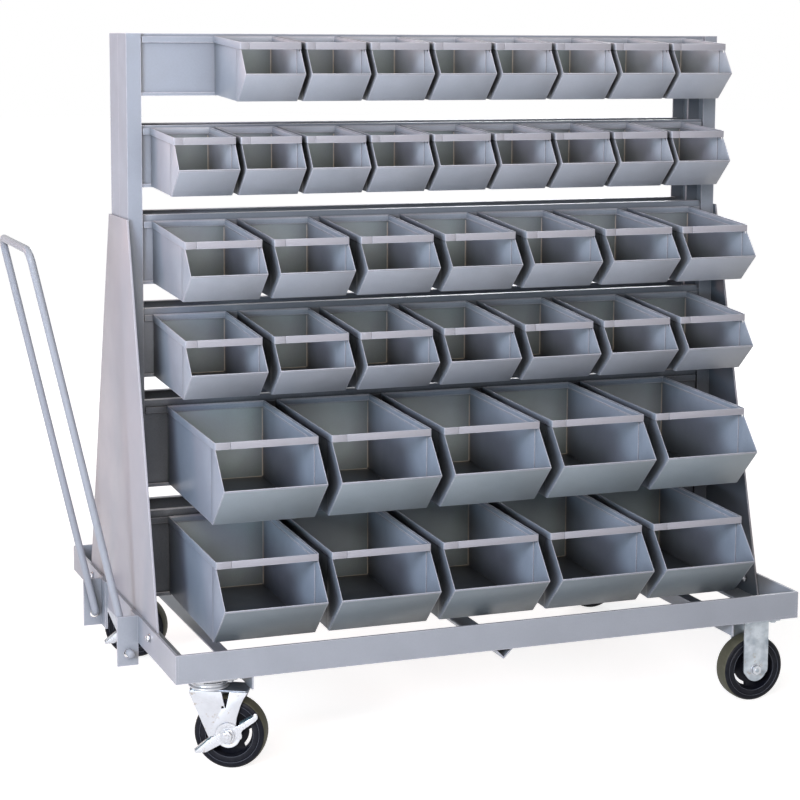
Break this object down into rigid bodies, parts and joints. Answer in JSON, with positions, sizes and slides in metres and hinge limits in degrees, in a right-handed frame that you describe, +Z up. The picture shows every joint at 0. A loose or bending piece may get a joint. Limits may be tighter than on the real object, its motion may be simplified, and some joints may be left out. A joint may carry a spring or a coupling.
{
  "type": "mobile bin cart",
  "caption": "Mobile cart with a two-sided rail rack, lift-off steel hopper bins in three sizes, a fold-down tow handle and braked swivel casters.",
  "frame": {"origin": "on the floor, under the middle of the whole cart's box", "axes": "+X towards the rigid casters' end, away from the tow handle; -Y towards the side that the bins hang on; +Z up"},
  "size_m": [1.5126, 0.9054, 1.3531],
  "materials": {
    "frame_paint": "semi-gloss enamel",
    "bin_paint": "semi-gloss enamel",
    "caster_zinc": "bright zinc plate",
    "brake_zinc": "bright zinc plate",
    "wheel_rubber": "satin"
  },
  "bodies": {
    "cart": {"base_frame": "frame_paint", "rack_front": "frame_paint", "rack_rear": "frame_paint", "gusset_left": "frame_paint", "gusset_right": "frame_paint", "swivel_caster_front_plate": "caster_zinc", "swivel_caster_rear_plate": "caster_zinc", "rigid_caster_front_fork": "caster_zinc", "rigid_caster_rear_fork": "caster_zinc"},
    "tow_handle": {"tow_handle": "frame_paint"},
    "swivel_fork_front": {"swivel_caster_front_fork": "caster_zinc"},
    "swivel_fork_rear": {"swivel_caster_rear_fork": "caster_zinc"},
    "swivel_wheel_front": {"swivel_caster_front_wheel": "wheel_rubber"},
    "swivel_wheel_rear": {"swivel_caster_rear_wheel": "wheel_rubber"},
    "rigid_wheel_front": {"rigid_caster_front_wheel": "wheel_rubber"},
    "rigid_wheel_rear": {"rigid_caster_rear_wheel": "wheel_rubber"},
    "brake_lever_front": {"swivel_caster_front_brake_lever": "brake_zinc"},
    "brake_lever_rear": {"swivel_caster_rear_brake_lever": "brake_zinc"},
    "small_bin_1_1": {"small_bin_1_1": "bin_paint"},
    "small_bin_1_2": {"small_bin_1_2": "bin_paint"},
    "small_bin_1_3": {"small_bin_1_3": "bin_paint"},
    "small_bin_1_4": {"small_bin_1_4": "bin_paint"},
    "small_bin_1_5": {"small_bin_1_5": "bin_paint"},
    "small_bin_1_6": {"small_bin_1_6": "bin_paint"},
    "small_bin_1_7": {"small_bin_1_7": "bin_paint"},
    "small_bin_1_8": {"small_bin_1_8": "bin_paint"},
    "small_bin_2_1": {"small_bin_2_1": "bin_paint"},
    "small_bin_2_2": {"small_bin_2_2": "bin_paint"},
    "small_bin_2_3": {"small_bin_2_3": "bin_paint"},
    "small_bin_2_4": {"small_bin_2_4": "bin_paint"},
    "small_bin_2_5": {"small_bin_2_5": "bin_paint"},
    "small_bin_2_6": {"small_bin_2_6": "bin_paint"},
    "small_bin_2_7": {"small_bin_2_7": "bin_paint"},
    "small_bin_2_8": {"small_bin_2_8": "bin_paint"},
    "small_bin_2_9": {"small_bin_2_9": "bin_paint"},
    "medium_bin_3_1": {"medium_bin_3_1": "bin_paint"},
    "medium_bin_3_2": {"medium_bin_3_2": "bin_paint"},
    "medium_bin_3_3": {"medium_bin_3_3": "bin_paint"},
    "medium_bin_3_4": {"medium_bin_3_4": "bin_paint"},
    "medium_bin_3_5": {"medium_bin_3_5": "bin_paint"},
    "medium_bin_3_6": {"medium_bin_3_6": "bin_paint"},
    "medium_bin_3_7": {"medium_bin_3_7": "bin_paint"},
    "medium_bin_4_1": {"medium_bin_4_1": "bin_paint"},
    "medium_bin_4_2": {"medium_bin_4_2": "bin_paint"},
    "medium_bin_4_3": {"medium_bin_4_3": "bin_paint"},
    "medium_bin_4_4": {"medium_bin_4_4": "bin_paint"},
    "medium_bin_4_5": {"medium_bin_4_5": "bin_paint"},
    "medium_bin_4_6": {"medium_bin_4_6": "bin_paint"},
    "medium_bin_4_7": {"medium_bin_4_7": "bin_paint"},
    "large_bin_5_1": {"large_bin_5_1": "bin_paint"},
    "large_bin_5_2": {"large_bin_5_2": "bin_paint"},
    "large_bin_5_3": {"large_bin_5_3": "bin_paint"},
    "large_bin_5_4": {"large_bin_5_4": "bin_paint"},
    "large_bin_5_5": {"large_bin_5_5": "bin_paint"},
    "large_bin_6_1": {"large_bin_6_1": "bin_paint"},
    "large_bin_6_2": {"large_bin_6_2": "bin_paint"},
    "large_bin_6_3": {"large_bin_6_3": "bin_paint"},
    "large_bin_6_4": {"large_bin_6_4": "bin_paint"},
    "large_bin_6_5": {"large_bin_6_5": "bin_paint"}
  },
  "joints": [
    {"name": "tow_handle_fold", "type": "hinge", "parent": "cart", "child": "tow_handle", "pos_m": [-0.56999, 0.01465, 0.1625], "axis": [0, -1, 0], "range_deg": [-12.5, 87]},
    {"name": "swivel_front_turn", "type": "hinge", "parent": "cart", "child": "swivel_fork_front", "pos_m": [-0.47149, -0.35665, 0], "axis": [0, 0, 1], "continuous": true},
    {"name": "swivel_rear_turn", "type": "hinge", "parent": "cart", "child": "swivel_fork_rear", "pos_m": [-0.47149, 0.38595, 0], "axis": [0, 0, 1], "continuous": true},
    {"name": "swivel_front_roll", "type": "hinge", "parent": "swivel_fork_front", "child": "swivel_wheel_front", "pos_m": [-0.43475, -0.37701, 0.068], "axis": [0.4848, 0.8746, 0], "continuous": true},
    {"name": "swivel_rear_roll", "type": "hinge", "parent": "swivel_fork_rear", "child": "swivel_wheel_rear", "pos_m": [-0.43475, 0.36559, 0.068], "axis": [0.4848, 0.8746, 0], "continuous": true},
    {"name": "rigid_front_roll", "type": "hinge", "parent": "cart", "child": "rigid_wheel_front", "pos_m": [0.67651, -0.35665, 0.068], "axis": [0, 1, 0], "continuous": true},
    {"name": "rigid_rear_roll", "type": "hinge", "parent": "cart", "child": "rigid_wheel_rear", "pos_m": [0.67651, 0.38595, 0.068], "axis": [0, 1, 0], "continuous": true},
    {"name": "brake_front_press", "type": "hinge", "parent": "swivel_fork_front", "child": "brake_lever_front", "pos_m": [-0.44847, -0.40176, 0.068], "axis": [0.4848, 0.8746, 0], "range_deg": [-15, 15]},
    {"name": "brake_rear_press", "type": "hinge", "parent": "swivel_fork_rear", "child": "brake_lever_rear", "pos_m": [-0.44847, 0.34084, 0.068], "axis": [0.4848, 0.8746, 0], "range_deg": [-15, 15]},
    {"name": "small_bin_1_1_lift", "type": "slide", "parent": "cart", "child": "small_bin_1_1", "axis": [0, 0, 1], "range_m": [0, 0.02]},
    {"name": "small_bin_1_2_lift", "type": "slide", "parent": "cart", "child": "small_bin_1_2", "axis": [0, 0, 1], "range_m": [0, 0.02]},
    {"name": "small_bin_1_3_lift", "type": "slide", "parent": "cart", "child": "small_bin_1_3", "axis": [0, 0, 1], "range_m": [0, 0.02]},
    {"name": "small_bin_1_4_lift", "type": "slide", "parent": "cart", "child": "small_bin_1_4", "axis": [0, 0, 1], "range_m": [0, 0.02]},
    {"name": "small_bin_1_5_lift", "type": "slide", "parent": "cart", "child": "small_bin_1_5", "axis": [0, 0, 1], "range_m": [0, 0.02]},
    {"name": "small_bin_1_6_lift", "type": "slide", "parent": "cart", "child": "small_bin_1_6", "axis": [0, 0, 1], "range_m": [0, 0.02]},
    {"name": "small_bin_1_7_lift", "type": "slide", "parent": "cart", "child": "small_bin_1_7", "axis": [0, 0, 1], "range_m": [0, 0.02]},
    {"name": "small_bin_1_8_lift", "type": "slide", "parent": "cart", "child": "small_bin_1_8", "axis": [0, 0, 1], "range_m": [0, 0.02]},
    {"name": "small_bin_2_1_lift", "type": "slide", "parent": "cart", "child": "small_bin_2_1", "axis": [0, 0, 1], "range_m": [0, 0.02]},
    {"name": "small_bin_2_2_lift", "type": "slide", "parent": "cart", "child": "small_bin_2_2", "axis": [0, 0, 1], "range_m": [0, 0.02]},
    {"name": "small_bin_2_3_lift", "type": "slide", "parent": "cart", "child": "small_bin_2_3", "axis": [0, 0, 1], "range_m": [0, 0.02]},
    {"name": "small_bin_2_4_lift", "type": "slide", "parent": "cart", "child": "small_bin_2_4", "axis": [0, 0, 1], "range_m": [0, 0.02]},
    {"name": "small_bin_2_5_lift", "type": "slide", "parent": "cart", "child": "small_bin_2_5", "axis": [0, 0, 1], "range_m": [0, 0.02]},
    {"name": "small_bin_2_6_lift", "type": "slide", "parent": "cart", "child": "small_bin_2_6", "axis": [0, 0, 1], "range_m": [0, 0.02]},
    {"name": "small_bin_2_7_lift", "type": "slide", "parent": "cart", "child": "small_bin_2_7", "axis": [0, 0, 1], "range_m": [0, 0.02]},
    {"name": "small_bin_2_8_lift", "type": "slide", "parent": "cart", "child": "small_bin_2_8", "axis": [0, 0, 1], "range_m": [0, 0.02]},
    {"name": "small_bin_2_9_lift", "type": "slide", "parent": "cart", "child": "small_bin_2_9", "axis": [0, 0, 1], "range_m": [0, 0.02]},
    {"name": "medium_bin_3_1_lift", "type": "slide", "parent": "cart", "child": "medium_bin_3_1", "axis": [0, 0, 1], "range_m": [0, 0.02]},
    {"name": "medium_bin_3_2_lift", "type": "slide", "parent": "cart", "child": "medium_bin_3_2", "axis": [0, 0, 1], "range_m": [0, 0.02]},
    {"name": "medium_bin_3_3_lift", "type": "slide", "parent": "cart", "child": "medium_bin_3_3", "axis": [0, 0, 1], "range_m": [0, 0.02]},
    {"name": "medium_bin_3_4_lift", "type": "slide", "parent": "cart", "child": "medium_bin_3_4", "axis": [0, 0, 1], "range_m": [0, 0.02]},
    {"name": "medium_bin_3_5_lift", "type": "slide", "parent": "cart", "child": "medium_bin_3_5", "axis": [0, 0, 1], "range_m": [0, 0.02]},
    {"name": "medium_bin_3_6_lift", "type": "slide", "parent": "cart", "child": "medium_bin_3_6", "axis": [0, 0, 1], "range_m": [0, 0.02]},
    {"name": "medium_bin_3_7_lift", "type": "slide", "parent": "cart", "child": "medium_bin_3_7", "axis": [0, 0, 1], "range_m": [0, 0.02]},
    {"name": "medium_bin_4_1_lift", "type": "slide", "parent": "cart", "child": "medium_bin_4_1", "axis": [0, 0, 1], "range_m": [0, 0.02]},
    {"name": "medium_bin_4_2_lift", "type": "slide", "parent": "cart", "child": "medium_bin_4_2", "axis": [0, 0, 1], "range_m": [0, 0.02]},
    {"name": "medium_bin_4_3_lift", "type": "slide", "parent": "cart", "child": "medium_bin_4_3", "axis": [0, 0, 1], "range_m": [0, 0.02]},
    {"name": "medium_bin_4_4_lift", "type": "slide", "parent": "cart", "child": "medium_bin_4_4", "axis": [0, 0, 1], "range_m": [0, 0.02]},
    {"name": "medium_bin_4_5_lift", "type": "slide", "parent": "cart", "child": "medium_bin_4_5", "axis": [0, 0, 1], "range_m": [0, 0.02]},
    {"name": "medium_bin_4_6_lift", "type": "slide", "parent": "cart", "child": "medium_bin_4_6", "axis": [0, 0, 1], "range_m": [0, 0.02]},
    {"name": "medium_bin_4_7_lift", "type": "slide", "parent": "cart", "child": "medium_bin_4_7", "axis": [0, 0, 1], "range_m": [0, 0.02]},
    {"name": "large_bin_5_1_lift", "type": "slide", "parent": "cart", "child": "large_bin_5_1", "axis": [0, 0, 1], "range_m": [0, 0.02]},
    {"name": "large_bin_5_2_lift", "type": "slide", "parent": "cart", "child": "large_bin_5_2", "axis": [0, 0, 1], "range_m": [0, 0.02]},
    {"name": "large_bin_5_3_lift", "type": "slide", "parent": "cart", "child": "large_bin_5_3", "axis": [0, 0, 1], "range_m": [0, 0.02]},
    {"name": "large_bin_5_4_lift", "type": "slide", "parent": "cart", "child": "large_bin_5_4", "axis": [0, 0, 1], "range_m": [0, 0.02]},
    {"name": "large_bin_5_5_lift", "type": "slide", "parent": "cart", "child": "large_bin_5_5", "axis": [0, 0, 1], "range_m": [0, 0.02]},
    {"name": "large_bin_6_1_lift", "type": "slide", "parent": "cart", "child": "large_bin_6_1", "axis": [0, 0, 1], "range_m": [0, 0.02]},
    {"name": "large_bin_6_2_lift", "type": "slide", "parent": "cart", "child": "large_bin_6_2", "axis": [0, 0, 1], "range_m": [0, 0.02]},
    {"name": "large_bin_6_3_lift", "type": "slide", "parent": "cart", "child": "large_bin_6_3", "axis": [0, 0, 1], "range_m": [0, 0.02]},
    {"name": "large_bin_6_4_lift", "type": "slide", "parent": "cart", "child": "large_bin_6_4", "axis": [0, 0, 1], "range_m": [0, 0.02]},
    {"name": "large_bin_6_5_lift", "type": "slide", "parent": "cart", "child": "large_bin_6_5", "axis": [0, 0, 1], "range_m": [0, 0.02]}
  ]
}
